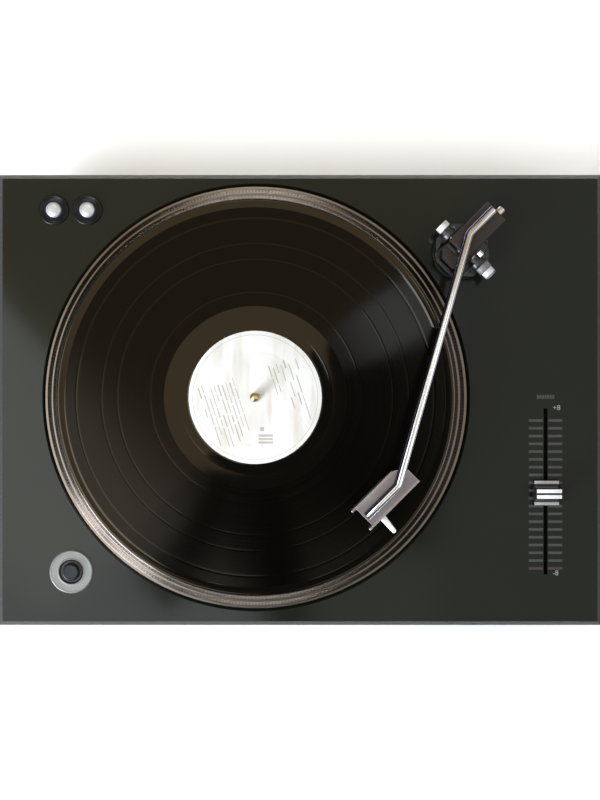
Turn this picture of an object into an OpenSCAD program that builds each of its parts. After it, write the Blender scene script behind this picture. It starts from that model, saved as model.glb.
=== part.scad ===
/* [Plinth] */
// Width of the plinth, left to right
plinth_w = 469; // [466:1:476]
// Depth of the plinth, front to back
plinth_d = 351; // [350:1:360]
// Height of the deck's face above the table
deck_top = 86; // [85:0.5:88]
// Bevel round the deck's upper edge
deck_bevel = 3.5; // [2:0.5:6]
// Thickness of the deck's plate and walls
deck_t = 3; // [2.5:0.5:3.5]
// Thickness of the base's floor and walls
base_t = 3.5; // [3:0.5:4]
// How far the base stands in from the deck all round
base_inset = 2; // [1:0.5:3]
// Distance of a foot from the centre, left and right
foot_x = 190; // [180:1:195]
// Distance of a foot from the centre, front and back
foot_y = 135; // [125:1:140]

/* [Platter and record] */
// Spindle's distance from the plinth's centre, left and right
platter_x = -34; // [-36:1:-32]
// Spindle's distance from the plinth's centre, front and back
platter_y = 2; // [0:1:3]
// Radius of the platter's lip
platter_r = 162.9; // [162:0.1:165]
// Gap between the platter's lip and the deck
well_gap = 1.8; // [1:0.2:2.4]
// Radius of the record
record_r = 150.8; // [150:0.1:151]
// Radius of the record's paper label
label_r = 50.5; // [48:0.5:52]
// Radius of the spindle where it stands out of the platter
spindle_r = 3.6; // [3.58:0.01:3.62]
// Height of the spindle's tip above the record
spindle_stand = 13.5; // [10:0.5:16]

/* [Tonearm] */
// Arm pivot's distance from the plinth's centre, left and right
pivot_x = 123.5; // [122:0.5:125]
// Arm pivot's distance from the plinth's centre, front and back
pivot_y = 114; // [112:0.5:115]
// Direction of the counterweight and the headshell, seen from above
arm_yaw = 45; // [44:0.5:46]
// Outer radius of the arm tube
tube_r = 3.3; // [3:0.1:4]
// Bore radius of the arm tube
tube_bore_r = 2.6; // [2:0.1:2.6]
// Length of the tube's long run, from bend to bend
tube_run = 193; // [190:0.2:196]
// Angle of both bends in the tube
bend_a = 29.2; // [28:0.1:31]
// Bend radius of the tube's centre line
bend_r = 8; // [7:0.5:14]
// Length of the tube's leg on the headshell
front_leg = 32.2; // [30:0.2:36]
// Length of the tube's leg over the counterweight
rear_leg = 25.5; // [22:0.5:28]
// Length of the headshell
shell_l = 52; // [50:1:54]
// Width of the headshell
shell_w = 20; // [19.6:0.2:22]
// Length of the counterweight
weight_l = 39.7; // [36:0.1:40]
// Width of the counterweight
weight_w = 19.4; // [18:0.2:20.4]

/* [Controls] */
// Outer radius of the start button's ring
start_ring_r = 16.8; // [14:0.2:20]
// Outer radius of a speed button's ring
speed_ring_r = 11.6; // [10:0.2:12.5]
// Radius of a speed button
speed_button_r = 5.9; // [5:0.1:6.4]
// Travel of the push buttons
press = 1.5; // [1:0.1:1.6]
// Length of the pitch slot in the deck
slot_l = 129; // [120:1:132]
// Width of the pitch slot
slot_w = 3; // [2.6:0.1:3.4]

/* [Hidden] */
$fn = 96;
eps = 0.01;

// Heights of the plinth's layers
pad_h = 5;
base_z = 22;
seam_z = 50;
deck_under = deck_top - deck_t;
well_floor = deck_top - 11;
well_r = platter_r + well_gap;
well_wall = 2.5;
well_chamfer = 1.5;
well_hole_r = 62;
base_bevel = 5;
floor_top = base_z + base_t;
base_w = plinth_w - 2 * base_inset;
base_d = plinth_d - 2 * base_inset;

// Feet
foot_top_r = 24;
foot_low_r = 22;
foot_recess_r = 8;
foot_bolt_r = 3;
foot_recess_top = pad_h + 5;
foot_boss_r = 7;
foot_boss_top = base_z + 16;
board_post_r = 3;

// Screws that hold the base to the deck
screw_xs = [-218, -130, 75, 218];
screw_y = 162;
screw_r = 1.75;
screw_post_r = 5;
screw_head_r = 3.8;
screw_head_h = 3;
screw_bite = 13;
screw_clear = 0.3;

// Platter stack
platter_top = deck_top + 14;
lip_top = deck_top + 4;
ridge_z = deck_top + 9;
skirt_z = deck_top - 8;
hub_under = platter_top - 9;
mat_t = 3;
mat_r = 147;
record_z = platter_top + mat_t;
groove_t = 1.6;
bead_t = 1.9;
label_t = 0.1;
groove_top = record_z + groove_t;
record_top = record_z + bead_t;
spindle_tip = record_top + spindle_stand;
hole_clear = 0.05;
spindle_neck_r = spindle_r - 0.25;
spindle_free_z = record_top + 0.3;

// Motor
shaft_r = 5;
shaft_foot = seam_z - 9.9;
housing_foot = seam_z - 10;
housing_r = 13;
housing_flange_r = 24;
motor_plate_r = 74;
motor_plate_top = well_floor - deck_t;
coil_count = 9;
coil_pitch_r = 41;
coil_r = 12;
coil_hole_r = 5;
coil_h = 5;
board_t = 1.6;
coil_z = motor_plate_top + board_t;
magnet_in_r = 28;
magnet_out_r = 57;
magnet_z = coil_z + coil_h + 1.5;
rotor_t = 2.5;
rotor_z = hub_under - rotor_t;

// Tonearm, in a frame at the pivot with +X to the counterweight
arm_base_r = 20.5;
arm_bush_r = 12;
bearing_r = 8;
bearing_h = 5;
bearing_bore_r = 4.05;
arm_shaft_r = 4;
wire_bore_r = 2.2;
arm_base_top = deck_top + 5;
arm_bush_foot = seam_z + 2;
yoke_z = arm_base_top + 2.4;
yoke_r = 21.6;
yoke_floor = yoke_z + 3.6;
yoke_rim = yoke_z + 9.6;
yoke_rear_rim = yoke_z + 5.6;
gimbal_z = deck_top + 26;
ear_in = 13.5;
ear_out = 17.5;
tube_z = deck_top + 42;
tube_under = tube_z - tube_r;
rear_bend = [6.8, 5.2];
front_bend = rear_bend - tube_run * [cos(bend_a), sin(bend_a)];
shell_y = front_bend.y + 0.5;
tube_front = front_bend.x - front_leg;
shell_x = tube_front - 5.6;
shell_roof_t = 1.5;
shell_wall = 1.4;
shell_depth = 11.7;
shell_front_gap = 3.8;
shell_short_side = 42.7;
shell_roof = tube_under - shell_roof_t;
stylus_back = 8.2;
stylus_gap = 0.1;
screw_back = stylus_back + 9.5;
screw_spread = 6.35;
cart_foot = groove_top + 3;
pivot_pin_r = 1.5;
barrel_r = 4.2;
barrel_half = 9;
weight_top = tube_under - 0.3;
weight_foot = gimbal_z - 7.5;
weight_front = -5.6;
weight_off = 2.7;
weight_step_x = 6.9;
weight_step_z = gimbal_z + 6.5;
shaft_z = gimbal_z + 2.5;
shaft_y = 0.9;
weight_shaft_r = 2.75;
saddle_at = -21.6;

// Controls
start_at = [-177.5, -133.2];
speed_33_at = [-191, 147.5];
speed_45_at = [-165, 147.5];
start_button_r = 9;
start_top_r = 5.9;
ring_clear = 0.3;
collar_t = 1;
collar_foot = deck_top - 6;
button_foot = deck_top - 5.2;
plunger_top = button_foot - 0.1 - press;
start_board_top = deck_under - 15;
speed_board_top = deck_under - 8;
start_post_x = 13;
speed_post_x = 9;
slot_at = [190.7, -71];
cap_l = 20;
cap_w = 19.6;
cap_z = deck_top + 0.8;
cap_h = 12;
cap_y = -0.9;
fader_foot = deck_under - 13;

// Rear connections
tray_x = -20;
tray_w = 92;
tray_depth = 13;
tray_h = 20;
tray_wall = 2;
wall_y = base_d / 2;
socket_z = base_z + 15;
inlet_x = 185;
inlet_w = 27;
inlet_h = 20;
jack_pitch = 18;
jack_r = 4.15;
jack_stem_r = 3.2;

// Electronics
board_z = floor_top + 5;
board_w = 140;
board_d = 90;
board_at = [-130, 62];
trafo_at = [190, 60];
trafo_z = floor_top + 1.4;

// Colours
olive = [0.19, 0.19, 0.16];
black = [0.06, 0.06, 0.06];
silver = [0.78, 0.78, 0.76];
brown = [0.27, 0.24, 0.22];
tan_metal = [0.71, 0.65, 0.62];
copper = [0.72, 0.42, 0.22];
board_green = [0.08, 0.3, 0.16];

// A block between two heights, centred on the axis
module slab(w, d, z0, z1) {
    translate([-w / 2, -d / 2, z0]) cube([w, d, z1 - z0]);
}

// A round solid between two heights
module disc(r, z0, z1) {
    translate([0, 0, z0]) cylinder(r = r, h = z1 - z0);
}

// A round solid with a bore, between two heights
module tube(outer, inner, z0, z1) {
    difference() {
        disc(outer, z0, z1);
        disc(inner, z0 - 1, z1 + 1);
    }
}

// An elevation seen from the front or the side, with bevelled upper corners
module bevel_profile(w, z0, z1, bevel_low, bevel_top) {
    h = w / 2;
    polygon([
        [-h + bevel_low, z0], [h - bevel_low, z0], [h, z0 + bevel_low], [h, z1 - bevel_top],
        [h - bevel_top, z1], [-h + bevel_top, z1], [-h, z1 - bevel_top], [-h, z0 + bevel_low]
    ]);
}

// A rectangular block whose upper and lower edges are bevelled on all four sides
module bevelled_block(w, d, z0, z1, bevel_low, bevel_top) {
    intersection() {
        rotate([90, 0, 0]) linear_extrude(2 * d, center = true)
            bevel_profile(w, z0, z1, bevel_low, bevel_top);
        rotate([90, 0, 90]) linear_extrude(2 * w, center = true)
            bevel_profile(d, z0, z1, bevel_low, bevel_top);
    }
}

module at_feet() {
    for (x = [-foot_x, foot_x], y = [-foot_y, foot_y]) translate([x, y, 0]) children();
}

module at_screws() {
    for (x = screw_xs, y = [-screw_y, screw_y]) translate([x, y, 0]) children();
}

module at_platter() {
    translate([platter_x, platter_y, 0]) children();
}

module at_arm() {
    translate([pivot_x, pivot_y, 0]) rotate(arm_yaw) children();
}

module at_gimbal() {
    at_arm() translate([0, 0, gimbal_z]) rotate([-90, 0, 0]) children();
}

module at_headshell() {
    at_arm() translate([shell_x, shell_y, 0]) children();
}

// Plinth

module deck_shell() {
    difference() {
        bevelled_block(plinth_w, plinth_d, seam_z, deck_top, 0, deck_bevel);
        slab(plinth_w - 2 * deck_t, plinth_d - 2 * deck_t, seam_z - 1, deck_under);
    }
    at_platter() disc(well_r + well_wall, well_floor - deck_t, deck_under + 1);
    at_screws() disc(screw_post_r, seam_z, deck_under + 1);
    for (x = [-start_post_x, start_post_x])
        translate([start_at.x + x, start_at.y, 0]) disc(2.5, start_board_top, deck_under + 1);
    for (at = [speed_33_at - [speed_post_x, 0], speed_45_at + [speed_post_x, 0]])
        translate(at) disc(2, speed_board_top, deck_under + 1);
}

module top_deck() {
    color(olive)
    difference() {
        deck_shell();
        at_platter() {
            disc(well_r, well_floor, deck_top + 1);
            disc(well_hole_r, seam_z, deck_top);
            translate([0, 0, deck_top - well_chamfer])
                cylinder(r1 = well_r, r2 = well_r + well_chamfer + eps, h = well_chamfer + eps);
        }
        at_screws() disc(screw_r, seam_z - 1, seam_z + screw_bite);
        at_arm() disc(arm_bush_r + 0.2, seam_z, deck_top + 1);
        translate(start_at) disc(start_button_r + ring_clear + collar_t + 0.1, seam_z, deck_top + 1);
        for (at = [speed_33_at, speed_45_at])
            translate(at) disc(speed_button_r + ring_clear + collar_t + 0.1, seam_z, deck_top + 1);
        translate(slot_at) slab(slot_w, slot_l, seam_z, deck_top + 1);
    }
}

// The base's outer form, between two heights
module base_form(z0, z1) {
    intersection() {
        bevelled_block(base_w, base_d, base_z, seam_z, base_bevel, 0);
        slab(base_w + 2, base_d + 2, z0, z1);
    }
}

module bottom_cover() {
    color(black)
    difference() {
        base_form(base_z - 1, floor_top);
        at_screws() {
            disc(screw_r + screw_clear, base_z - 1, seam_z);
            disc(screw_head_r + screw_clear, base_z - 1, base_z + screw_head_h);
        }
        at_feet() disc(foot_bolt_r, base_z - 1, seam_z);
        for (y = [-16 : 8 : 16])
            translate([trafo_at.x, trafo_at.y + y, 0]) slab(34, 3, base_z - 1, floor_top + 1);
    }
}

// The front wall and the two side walls
module base_walls() {
    color(black)
    difference() {
        base_form(floor_top, seam_z + 1);
        translate([0, base_t, 0]) slab(base_w - 2 * base_t, base_d, floor_top - 1, seam_z + 2);
    }
}

module base_posts() {
    color(black)
    difference() {
        union() {
            at_screws() disc(screw_post_r, floor_top, seam_z);
            at_feet() disc(foot_boss_r, floor_top, foot_boss_top);
            for (x = [-60, 60], y = [-38, 38])
                translate([board_at.x + x, board_at.y + y, 0]) disc(board_post_r, floor_top, board_z);
        }
        at_screws() disc(screw_r + screw_clear, base_z, seam_z + 1);
        at_feet() disc(foot_bolt_r, base_z, foot_boss_top - 2);
    }
}

module rear_panel() {
    color(black)
    difference() {
        intersection() {
            bevelled_block(base_w, base_d, base_z, seam_z, base_bevel, 0);
            translate([0, wall_y, 0]) slab(base_w - 2 * base_t, 2 * base_t, floor_top, seam_z + 1);
        }
        translate([tray_x, wall_y, socket_z]) cube([tray_w, 4 * base_t, tray_h], center = true);
        translate([inlet_x, wall_y, socket_z]) cube([inlet_w, 4 * base_t, inlet_h], center = true);
    }
}

module foot(x, y) {
    color(black)
    translate([x, y, 0])
    rotate_extrude()
        polygon([
            [foot_recess_r, pad_h], [foot_low_r, pad_h], [foot_top_r, pad_h + 4], [foot_top_r, base_z - 4],
            [foot_top_r - 4, base_z], [foot_bolt_r + 0.2, base_z], [foot_bolt_r + 0.2, foot_recess_top],
            [foot_recess_r, foot_recess_top]
        ]);
}

module foot_pads() {
    color([0.12, 0.12, 0.12]) at_feet() tube(foot_low_r, foot_recess_r, 0, pad_h);
}

module foot_bolts() {
    color(silver)
    at_feet() {
        disc(foot_bolt_r, foot_recess_top, foot_boss_top - 3);
        disc(foot_bolt_r * 1.9, foot_recess_top - 3, foot_recess_top);
    }
}

module base_screws() {
    color(silver)
    at_screws() {
        disc(screw_r, base_z + screw_head_h, seam_z + screw_bite - 1);
        disc(screw_head_r, base_z + 0.5, base_z + screw_head_h);
    }
}

// Direct-drive motor

module motor_plate() {
    color(silver)
    at_platter() difference() {
        disc(motor_plate_r, motor_plate_top - 3, motor_plate_top);
        disc(housing_r, seam_z, motor_plate_top + 1);
    }
}

module bearing_housing() {
    color([0.62, 0.55, 0.36])
    at_platter() difference() {
        union() {
            disc(housing_r, housing_foot, hub_under - rotor_t - 1);
            disc(housing_flange_r, motor_plate_top - 8, motor_plate_top - 3);
        }
        disc(shaft_r + hole_clear, housing_foot - 1, platter_top);
    }
}

module thrust_plate() {
    color(silver) at_platter() disc(housing_r, housing_foot - 2.5, housing_foot);
}

module stator_board() {
    color(board_green)
    at_platter() {
        tube(well_hole_r - 1, housing_r + 1, motor_plate_top, coil_z);
        for (a = [20, 140, 260]) rotate(a) translate([well_hole_r - 8, 0, coil_z]) slab(4, 3, 0, 1.2);
    }
}

module stator_coils() {
    color(copper)
    at_platter()
    for (i = [0 : coil_count - 1]) rotate(i * 360 / coil_count) translate([coil_pitch_r, 0, 0])
        tube(coil_r, coil_hole_r, coil_z, coil_z + coil_h);
}

// Electronics

module main_board() {
    color(board_green)
    translate([board_at.x, board_at.y, board_z]) {
        slab(board_w, board_d, 0, board_t);
        for (x = [-48, -28]) translate([x, 26, 0]) disc(6.5, board_t, board_t + 16);
        for (x = [0, 30]) translate([x, 10, 0]) slab(14, 10, board_t, board_t + 2.6);
        translate([-40, -14, 0]) slab(22, 22, board_t, board_t + 3);
        translate([52, -18, 0]) slab(8, 34, board_t, board_t + 9);
        for (y = [-26 : 13 : 26]) translate([20, y - 8, 0]) slab(6, 4, board_t, board_t + 1.5);
    }
}

module transformer_core() {
    color([0.35, 0.34, 0.33])
    translate([trafo_at.x, trafo_at.y, trafo_z])
    difference() {
        slab(57, 28, 0, 46);
        for (x = [-14.25, 14.25]) translate([x, 0, 0]) slab(9.5, 30, 9, 37);
    }
}

module transformer_winding() {
    color(copper)
    translate([trafo_at.x, trafo_at.y, trafo_z])
    difference() {
        slab(37.6, 46, 9.3, 36.7);
        slab(19, 28, 9, 37);
    }
}

module transformer_bracket() {
    sheet = 1.4;
    half = 28.5;
    color(silver)
    translate([trafo_at.x, trafo_at.y, floor_top]) {
        difference() {
            slab(2 * (half + sheet), 24, 0, 46 + 2 * sheet);
            slab(2 * half, 26, sheet, 46 + sheet);
        }
        for (x = [-1, 1]) translate([x * (half + 3.5), 0, 0]) slab(9, 24, 0, sheet);
    }
}

// Rear connections

module terminal_tray() {
    color(black)
    translate([tray_x, wall_y - tray_depth, socket_z])
    difference() {
        translate([-tray_w / 2, 0, -tray_h / 2]) cube([tray_w, tray_depth, tray_h]);
        translate([tray_wall - tray_w / 2, tray_wall, tray_wall - tray_h / 2])
            cube([tray_w - 2 * tray_wall, tray_depth, tray_h - 2 * tray_wall]);
        for (i = [-2, -1, 0]) translate([i * jack_pitch, -1, 0])
            rotate([-90, 0, 0]) cylinder(r = jack_stem_r, h = tray_wall + 2);
    }
}

module output_jacks() {
    color(silver)
    translate([tray_x - jack_pitch, wall_y - tray_depth, socket_z])
    rotate([-90, 0, 0]) {
        for (i = [-1, 0]) translate([i * jack_pitch, 0, 0]) {
            tube(jack_stem_r, 1.6, -9, tray_wall);
            tube(jack_r, 1.6, tray_wall, 11.5);
        }
        translate([jack_pitch, 0, 0]) {
            disc(jack_stem_r, -4, tray_wall);
            disc(2, tray_wall, 11);
            disc(4.6, 5, 9.5);
        }
    }
}

module mains_inlet() {
    color(black)
    translate([inlet_x, wall_y, socket_z]) {
        difference() {
            union() {
                translate([0, -10, 0]) cube([inlet_w, 20, inlet_h], center = true);
                translate([0, 0.75, 0]) cube([inlet_w + 8, 1.5, inlet_h + 3], center = true);
            }
            translate([0, -6, 0]) cube([24.5, 17, 16.5], center = true);
        }
        for (p = [[-7, -2], [7, -2], [0, 3.5]])
            translate([p.x - 1, -20, p.y - 2]) cube([2, 12, 4]);
    }
}

// Controls

module start_ring() {
    bore = start_button_r + ring_clear;
    color(tan_metal)
    translate(start_at)
    rotate_extrude()
        polygon([
            [bore, collar_foot], [bore + collar_t, collar_foot], [bore + collar_t, deck_top],
            [start_ring_r, deck_top], [start_ring_r, deck_top + 0.8], [start_ring_r - 0.8, deck_top + 1.6],
            [bore + 0.6, deck_top + 1.6], [bore, deck_top + 1]
        ]);
}

module start_button() {
    color(black)
    translate(start_at)
    rotate_extrude()
        polygon([
            [0, button_foot], [3, button_foot], [3, deck_top - 3.5], [start_button_r, deck_top - 3.5],
            [start_button_r, deck_top + 1.8], [start_button_r - 0.6, deck_top + 2.4],
            [start_top_r + 0.3, deck_top + 4.2], [start_top_r, deck_top + 4.4], [0, deck_top + 4.4]
        ]);
}

// A push switch on its board, with its plunger up to a given height
module push_switch(size, board_top, plunger_top, plunger_r) {
    slab(size, size, board_top, plunger_top - 2);
    disc(plunger_r, plunger_top - 2, plunger_top);
}

module start_switch() {
    top = start_board_top;
    color(board_green)
    translate(start_at) {
        slab(34, 16, top - board_t, top);
        push_switch(12, top, plunger_top, 2.5);
    }
}

module speed_ring(at) {
    bore = speed_button_r + ring_clear;
    color(black)
    translate(at)
    rotate_extrude()
        polygon([
            [bore, collar_foot], [bore + collar_t, collar_foot], [bore + collar_t, deck_top],
            [speed_ring_r, deck_top], [speed_ring_r, deck_top + 1.4], [speed_ring_r - 0.6, deck_top + 2],
            [speed_ring_r - 1.4, deck_top + 1.8], [bore + 0.8, deck_top + 0.6], [bore, deck_top + 0.6]
        ]);
}

module speed_button(at) {
    dome_h = 1.6;
    dome_r = (pow(speed_button_r, 2) + pow(dome_h, 2)) / (2 * dome_h);
    top = deck_top + 4;
    color(silver)
    translate(at) {
        intersection() {
            disc(speed_button_r, deck_top - 3, top + 1);
            translate([0, 0, top - dome_r]) sphere(r = dome_r);
        }
        disc(2.5, button_foot, deck_top - 3);
    }
}

module speed_switches() {
    top = speed_board_top;
    mid = (speed_33_at + speed_45_at) / 2;
    color(board_green) {
        translate(mid) slab(50, 12, top - board_t, top);
        for (at = [speed_33_at, speed_45_at]) translate(at) push_switch(6, top, plunger_top, 1.7);
    }
}

module fader_housing() {
    color(silver)
    translate(slot_at) difference() {
        slab(14, slot_l + 22, fader_foot, deck_under);
        slab(9, slot_l + 8, fader_foot + 1.5, deck_under + 1);
    }
}

module fader_lever() {
    color(black)
    translate([slot_at.x, slot_at.y + cap_y, 0]) {
        slab(8.4, 12, fader_foot + 1.8, deck_under - 3);
        slab(slot_w - 1, 5, deck_under - 4, cap_z + 5);
    }
}

module fader_cap() {
    half = cap_l / 2;
    color(black)
    translate([slot_at.x, slot_at.y + cap_y, cap_z])
    difference() {
        rotate([90, 0, 90]) linear_extrude(cap_w, center = true)
            polygon([
                [-half, 0], [half, 0], [half, 2.2], [half - 1.4, 3.1], [half - 3.2, 3.1], [5.4, 5.4],
                [4.2, cap_h - 0.5], [3.7, cap_h],
                [0.5, cap_h], [0, cap_h - 0.8], [-0.5, cap_h], [-3.7, cap_h], [-4.2, cap_h - 0.5],
                [-5.4, 5.4], [3.2 - half, 3.1], [1.4 - half, 3.1], [-half, 2.2]
            ]);
        slab(slot_w - 1, 5, -1, 5);
    }
}

// Platter, record and rotor

module platter() {
    rim = platter_r;
    color(silver)
    at_platter() rotate_extrude()
        polygon([
            [spindle_r + hole_clear, hub_under], [60, hub_under], [60, magnet_z], [63, magnet_z],
            [63, platter_top - 5], [rim - 17, platter_top - 5], [rim - 8.4, deck_top + 2],
            [rim - 8.4, skirt_z],
            [rim - 1.8, skirt_z], [rim - 1, skirt_z + 0.8], [rim - 1, deck_top + 1.5], [rim, deck_top + 1.5],
            [rim, lip_top], [rim - 1.9, lip_top], [rim - 2.1, lip_top + 0.4], [rim - 5.7, ridge_z - 0.6],
            [rim - 5.9, ridge_z], [rim - 7.3, ridge_z], [rim - 7.5, ridge_z + 0.4],
            [rim - 10.4, platter_top - 0.6], [rim - 10.9, platter_top], [spindle_r + hole_clear, platter_top]
        ]);
}

module platter_mat() {
    color([0.1, 0.1, 0.1])
    at_platter() difference() {
        tube(mat_r, spindle_r + 0.4, platter_top, record_z);
        for (r = [70 : 24 : 142]) tube(r + 1, r, record_z - 0.8, record_z + 1);
    }
}

module vinyl_record() {
    bore = spindle_r + hole_clear;
    color([0.03, 0.03, 0.03])
    at_platter() rotate_extrude()
        polygon([
            [bore, record_z], [record_r - 0.6, record_z], [record_r, record_z + 0.6],
            [record_r, record_top - 0.6], [record_r - 0.6, record_top], [record_r - 2.2, record_top],
            [record_r - 3.4, groove_top], [label_r + 5, groove_top], [label_r + 3, record_top - label_t],
            [bore, record_top - label_t]
        ]);
}

module record_label() {
    color([0.93, 0.92, 0.9])
    at_platter() tube(label_r, spindle_r + hole_clear, record_top - label_t, record_top);
}

module spindle() {
    color([0.7, 0.6, 0.4])
    at_platter() rotate_extrude()
        polygon([
            [0, shaft_foot], [shaft_r - 2, shaft_foot], [shaft_r, shaft_foot + 2], [shaft_r, hub_under],
            [spindle_neck_r, hub_under], [spindle_neck_r, spindle_free_z], [spindle_r, spindle_free_z],
            [spindle_r, spindle_tip - 2.2], [spindle_r - 0.6, spindle_tip - 1],
            [spindle_r - 1.6, spindle_tip - 0.2], [0, spindle_tip]
        ]);
}

module rotor_plate() {
    color([0.5, 0.5, 0.5]) at_platter() tube(magnet_out_r + 1, shaft_r + hole_clear, rotor_z, hub_under);
}

module magnet_ring() {
    color([0.2, 0.2, 0.22]) at_platter() tube(magnet_out_r, magnet_in_r, magnet_z, rotor_z);
}

// Tonearm base and its vertical bearings

module arm_base() {
    color(black)
    at_arm() difference() {
        union() {
            disc(arm_base_r, deck_top, deck_top + 2.5);
            disc(arm_base_r - 3.5, deck_top + 2, arm_base_top);
            disc(arm_bush_r, arm_bush_foot, deck_top + 1);
        }
        disc(bearing_r - 2, arm_bush_foot - 1, arm_base_top + 1);
        disc(bearing_r, arm_base_top - bearing_h - 1, arm_base_top + 1);
        disc(bearing_r, arm_bush_foot - 1, arm_bush_foot + bearing_h);
    }
}

module arm_base_nut() {
    color(silver)
    at_arm() difference() {
        translate([0, 0, deck_under - 6]) cylinder(r = 18, h = 6, $fn = 6);
        disc(arm_bush_r, seam_z, deck_top);
    }
}

module arm_bearings() {
    ball_r = 0.65;
    ball_pitch_r = 6;
    color(silver)
    at_arm()
    for (z = [arm_bush_foot, arm_base_top - bearing_h - 1]) translate([0, 0, z]) {
        tube(bearing_r, ball_pitch_r + 0.7, 0, bearing_h);
        tube(ball_pitch_r - 0.7, bearing_bore_r, 0, bearing_h);
        for (i = [0 : 7]) rotate(i * 45) translate([ball_pitch_r, 0, bearing_h / 2]) sphere(r = ball_r);
    }
}

// Gimbal, which swings with the arm

module arm_shaft() {
    color(silver)
    at_arm() difference() {
        union() {
            disc(arm_shaft_r, arm_bush_foot - 2, yoke_z - 1);
            disc(arm_base_r - 8, yoke_z - 2, yoke_z);
        }
        disc(wire_bore_r, seam_z - 1, yoke_z + 1);
    }
}

module gimbal_yoke() {
    ear_t = ear_out - ear_in;
    window = 2 * ear_in - 0.6;
    color(black)
    at_arm() difference() {
        union() {
            rotate(22.5) translate([0, 0, yoke_z]) cylinder(r = yoke_r, h = yoke_rim - yoke_z, $fn = 8);
            for (y = [-1, 1]) translate([0, y * (ear_in + ear_out) / 2, 0]) {
                slab(12, ear_t, yoke_rim - 1, gimbal_z);
                translate([0, ear_t / 2, gimbal_z]) rotate([90, 0, 0]) cylinder(r = 6.4, h = ear_t);
            }
        }
        slab(35, window, yoke_floor, yoke_rim + 1);
        translate([20, 0, 0]) slab(26, window, yoke_rear_rim, yoke_rim + 1);
        disc(wire_bore_r, yoke_z - 1, yoke_floor + 1);
        translate([0, 30, gimbal_z]) rotate([90, 0, 0]) cylinder(r = pivot_pin_r, h = 60);
    }
}

// Left side runs along +Y of the arm frame, right side along -Y
module pivot_screws() {
    color(silver)
    at_gimbal() {
        disc(pivot_pin_r, barrel_half - 3.5, 20.5);
        disc(5.2, 20.4, 25);
        disc(pivot_pin_r, -28, 3.5 - barrel_half);
    }
}

module pivot_nuts() {
    color(silver)
    at_gimbal() difference() {
        union() {
            translate([0, 0, ear_out]) cylinder(r = 4.2, h = 2.8, $fn = 6);
            translate([0, 0, -ear_in]) cylinder(r = 3.2, h = 3.4, $fn = 6);
        }
        disc(pivot_pin_r, -30, 30);
    }
}

module anti_skate_knob() {
    color([0.5, 0.5, 0.5])
    at_gimbal() difference() {
        union() {
            disc(5.4, -23, -ear_out - 0.4);
            disc(4.6, -28.6, -22.9);
        }
        disc(pivot_pin_r + hole_clear, -28.2, 0);
    }
}

// Arm, which tilts in the gimbal

module arm_carrier() {
    front = -16;
    back = -3.4;
    left = 11.5;
    right = -9;
    color(brown)
    difference() {
        union() {
            at_gimbal() disc(barrel_r, -barrel_half, barrel_half);
            at_arm() translate([0, 0, gimbal_z - 8]) linear_extrude(11)
                polygon([
                    [back + 1, right], [back + 1, left], [front + 5, left], [front, left - 5],
                    [front, right + 5], [front + 5, right]
                ]);
            at_saddle() translate([-4, -3.7, gimbal_z + 2]) cube([8, 7.4, tube_z - 1.8 - gimbal_z - 2]);
        }
        at_gimbal() {
            disc(pivot_pin_r + hole_clear, -barrel_half - 1, 3.6 - barrel_half);
            disc(pivot_pin_r + hole_clear, barrel_half - 3.6, barrel_half + 1);
        }
        at_saddle() translate([0, 0, tube_z]) rotate([0, 90, 0]) cylinder(r = tube_r, h = 40, center = true);
        at_arm() translate([-8, shaft_y, shaft_z]) rotate([0, 90, 0]) cylinder(r = weight_shaft_r, h = 30);
    }
}

// A frame on the tube's long run, with +X along the tube
module at_saddle() {
    at_arm() translate([rear_bend.x, rear_bend.y, 0]) rotate(bend_a) translate([saddle_at, 0, 0]) children();
}

// The tube's path as a solid rod of a given radius, made longer by some amount at both ends
module tube_path(r, extra) {
    setback = bend_r * tan(bend_a / 2);
    at_arm() translate([0, 0, tube_z]) {
        translate([tube_front - extra, shell_y, 0]) rod(r, front_leg - setback + extra);
        translate([front_bend.x - setback, front_bend.y + bend_r, 0]) rotate(-90) rod_bend(r);
        translate(front_bend) rotate(bend_a) translate([setback, 0, 0]) rod(r, tube_run - 2 * setback);
        translate([rear_bend.x + setback, rear_bend.y - bend_r, 0]) rotate(90) rod_bend(r);
        translate([rear_bend.x + setback, rear_bend.y, 0]) rod(r, rear_leg - setback + extra);
    }
}

// A straight rod along +X
module rod(r, length) {
    rotate([0, 90, 0]) cylinder(r = r, h = length);
}

// A bend of the tube's path, turning about the frame's own axis
module rod_bend(r) {
    rotate_extrude(angle = bend_a) translate([bend_r, 0]) circle(r = r);
}

module arm_tube() {
    color([0.85, 0.85, 0.87])
    difference() {
        tube_path(tube_r, 0);
        tube_path(tube_bore_r, 1);
    }
}

module weight_shaft() {
    color(silver) at_arm() translate([-8, shaft_y, shaft_z]) rotate([0, 90, 0]) disc(weight_shaft_r, 0, 48.8);
}

module counterweight() {
    half = weight_w / 2;
    edge = 1.2;
    color(brown)
    at_arm() difference() {
        translate([weight_front, weight_off, 0]) rotate([90, 0, 90]) linear_extrude(weight_l)
            polygon([
                [-half, weight_foot + edge], [edge - half, weight_foot], [half - edge, weight_foot],
                [half, weight_foot + edge], [half, weight_top - edge], [half - edge, weight_top],
                [edge - half, weight_top], [-half, weight_top - edge]
            ]);
        translate([weight_step_x - 20, -20, weight_foot - 1]) cube([20, 40, weight_step_z - weight_foot + 1]);
        translate([-20, shaft_y, shaft_z]) rotate([0, 90, 0]) disc(weight_shaft_r + hole_clear, 0, 80);
    }
}

// Headshell, in a frame at its front edge with +X to the rear

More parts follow.
